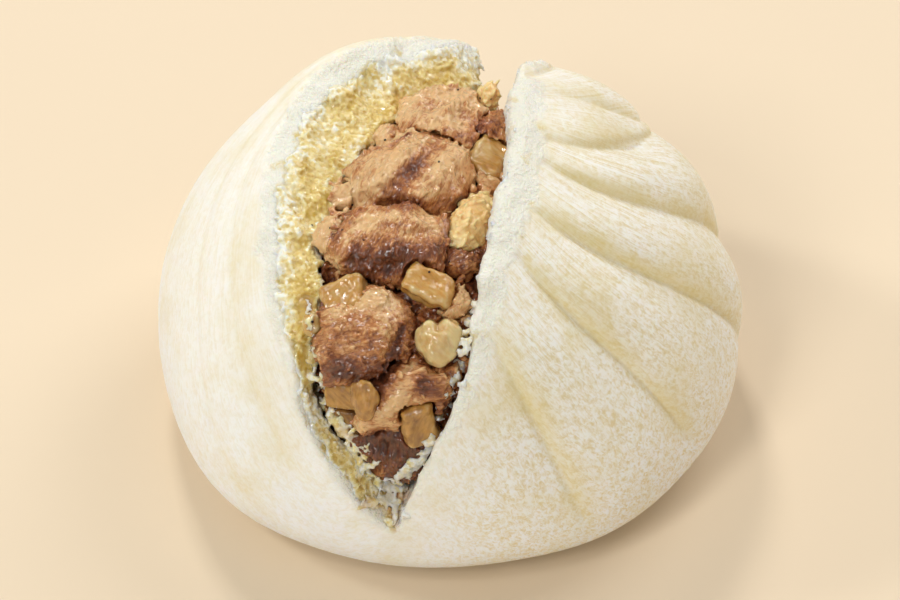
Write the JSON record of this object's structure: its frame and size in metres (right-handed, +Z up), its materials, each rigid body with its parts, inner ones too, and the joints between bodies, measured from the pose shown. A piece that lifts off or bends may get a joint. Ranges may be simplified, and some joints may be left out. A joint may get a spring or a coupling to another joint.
{
  "type": "filled steamed bun",
  "caption": "Round pleated steamed bun of white wheat dough, torn open over its crown to show its chunky pork and onion filling.",
  "frame": {"origin": "middle of the bun's flat base, on the surface it stands on", "axes": "+Z up through the crown, -Y towards the front, where the tear runs down the bun's side"},
  "size_m": [0.0954, 0.095, 0.0618],
  "materials": {
    "steamed_dough": "matte, soft, finely mottled steamed dough skin and open white crumb",
    "cooked_pork": "wet, glossy, fibrous cooked meat",
    "pork_fat": "glossy, slightly translucent fat",
    "cooked_onion": "glossy, translucent cooked onion"
  },
  "bodies": {
    "root": {"bun_dough": "steamed_dough", "pork_filling": "cooked_pork", "pork_chunk_top": "cooked_pork", "pork_chunk_crown": "cooked_pork", "pork_chunk_upper": "cooked_pork", "pork_chunk_middle": "cooked_pork", "pork_chunk_lower": "cooked_pork", "pork_chunk_bottom": "cooked_pork", "pork_bit_crown_right": "cooked_pork", "pork_bit_right": "cooked_pork", "pork_bit_tan": "cooked_pork", "pork_bit_low_right": "cooked_pork", "pork_bit_pink": "cooked_pork", "pork_bit_crown_left": "cooked_pork", "fat_bit_right": "pork_fat", "fat_bit_top": "pork_fat", "onion_dice_crown": "cooked_onion", "onion_dice_upper": "cooked_onion", "onion_dice_left": "cooked_onion", "onion_dice_low_right": "cooked_onion", "onion_dice_low_left": "cooked_onion", "onion_dice_deep_left": "cooked_onion", "onion_lump_pale": "cooked_onion", "onion_lump_left": "cooked_onion", "onion_sliver": "cooked_onion"}
  },
  "joints": []
}
